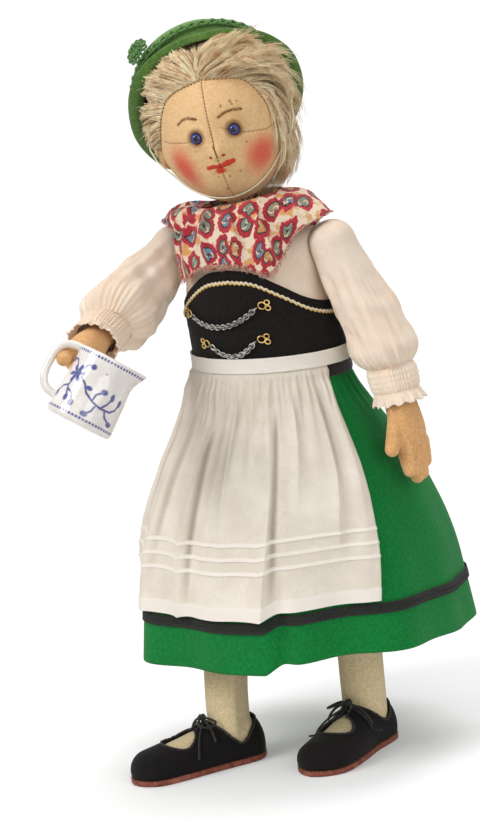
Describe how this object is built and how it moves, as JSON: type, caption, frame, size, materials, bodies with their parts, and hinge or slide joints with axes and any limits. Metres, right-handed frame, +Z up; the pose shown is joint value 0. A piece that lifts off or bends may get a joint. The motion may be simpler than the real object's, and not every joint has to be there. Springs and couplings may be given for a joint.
{
  "type": "felt doll",
  "caption": "Standing jointed felt doll in folk dress with hat, kerchief, bodice, apron and skirt, holding a small jug on its right thumb.",
  "frame": {"origin": "middle of the outline on the floor under the soles", "axes": "+Z up, the doll's body faces -Y, its left side is +X"},
  "size_m": [0.2237, 0.2857, 0.4943],
  "materials": {
    "flesh_felt": "matt wool felt, stuffed, stained with age",
    "mohair": "combed pale mohair",
    "eye_glass": "blue glass with a black pupil",
    "hat_felt": "green wool felt",
    "hat_cord": "green looped cord",
    "elastic": "thin covered elastic",
    "blouse_cotton": "cream cotton",
    "kerchief_cotton": "cream cotton with a red all-over print",
    "bodice_felt": "black felt",
    "gold_braid": "gold zigzag braid",
    "chain_metal": "dull silvered chain",
    "hook_brass": "plain brass wire",
    "skirt_felt": "bright green felt",
    "black_braid": "black openwork braid",
    "apron_cotton": "fine white cotton",
    "button": "pale button",
    "shoe_felt": "black felt",
    "sole_leather": "red-brown leather",
    "porcelain": "white glazed porcelain with blue painting",
    "joint_board": "pressed board",
    "joint_steel": "bright steel wire"
  },
  "bodies": {
    "torso": {"torso": "flesh_felt", "blouse": "blouse_cotton", "kerchief": "kerchief_cotton", "bodice": "bodice_felt", "bodice_braid": "gold_braid", "upper_chain": "chain_metal", "lower_chain": "chain_metal", "upper_left_hook": "hook_brass", "upper_right_hook": "hook_brass", "lower_left_hook": "hook_brass", "lower_right_hook": "hook_brass", "skirt": "skirt_felt", "skirt_waistband": "black_braid", "skirt_braid": "black_braid", "apron": "apron_cotton", "apron_band": "apron_cotton", "apron_button": "button", "neck_body_disc": "joint_board", "left_shoulder_body_disc": "joint_board", "right_shoulder_body_disc": "joint_board", "left_hip_body_disc": "joint_board", "right_hip_body_disc": "joint_board", "neck_pin": "joint_steel", "left_shoulder_pin": "joint_steel", "right_shoulder_pin": "joint_steel", "left_hip_pin": "joint_steel", "right_hip_pin": "joint_steel"},
    "head": {"head": "flesh_felt", "left_ear": "flesh_felt", "right_ear": "flesh_felt", "left_eye": "eye_glass", "right_eye": "eye_glass", "wig": "mohair", "hat": "hat_felt", "hat_cord": "hat_cord", "chin_strap": "elastic", "neck_limb_disc": "joint_board"},
    "left_arm": {"left_arm": "flesh_felt", "left_sleeve": "blouse_cotton", "left_cuff": "blouse_cotton", "left_shoulder_limb_disc": "joint_board"},
    "right_arm": {"right_arm": "flesh_felt", "right_sleeve": "blouse_cotton", "right_cuff": "blouse_cotton", "right_shoulder_limb_disc": "joint_board"},
    "left_leg": {"left_leg": "flesh_felt", "left_shoe": "shoe_felt", "left_sole": "sole_leather", "left_lace": "black_braid", "left_hip_limb_disc": "joint_board"},
    "right_leg": {"right_leg": "flesh_felt", "right_shoe": "shoe_felt", "right_sole": "sole_leather", "right_lace": "black_braid", "right_hip_limb_disc": "joint_board"},
    "jug": {"jug": "porcelain"}
  },
  "joints": [
    {"name": "neck_turn", "type": "hinge", "parent": "torso", "child": "head", "pos_m": [-0.009, 0.0265, 0.374], "axis": [-0.1442, -0.0523, 0.9882], "continuous": true},
    {"name": "left_shoulder", "type": "hinge", "parent": "torso", "child": "left_arm", "pos_m": [0.0415, 0.0315, 0.34], "axis": [-0.9718, 0.19, -0.14], "range_deg": [-40, 92]},
    {"name": "right_shoulder", "type": "hinge", "parent": "torso", "child": "right_arm", "pos_m": [-0.0545, 0.0315, 0.34], "axis": [-0.9718, -0.19, 0.14], "range_deg": [-18, 24]},
    {"name": "left_hip", "type": "hinge", "parent": "torso", "child": "left_leg", "pos_m": [0.022, 0.0315, 0.207], "axis": [-1, 0, 0], "range_deg": [-18, 18]},
    {"name": "right_hip", "type": "hinge", "parent": "torso", "child": "right_leg", "pos_m": [-0.028, 0.0315, 0.207], "axis": [-1, 0, 0], "range_deg": [-30, 8]},
    {"name": "jug_tilt", "type": "hinge", "parent": "right_arm", "child": "jug", "pos_m": [-0.07728, -0.11545, 0.29689], "axis": [-0.1092, 0.9888, 0.102], "range_deg": [-10, 15]}
  ]
}
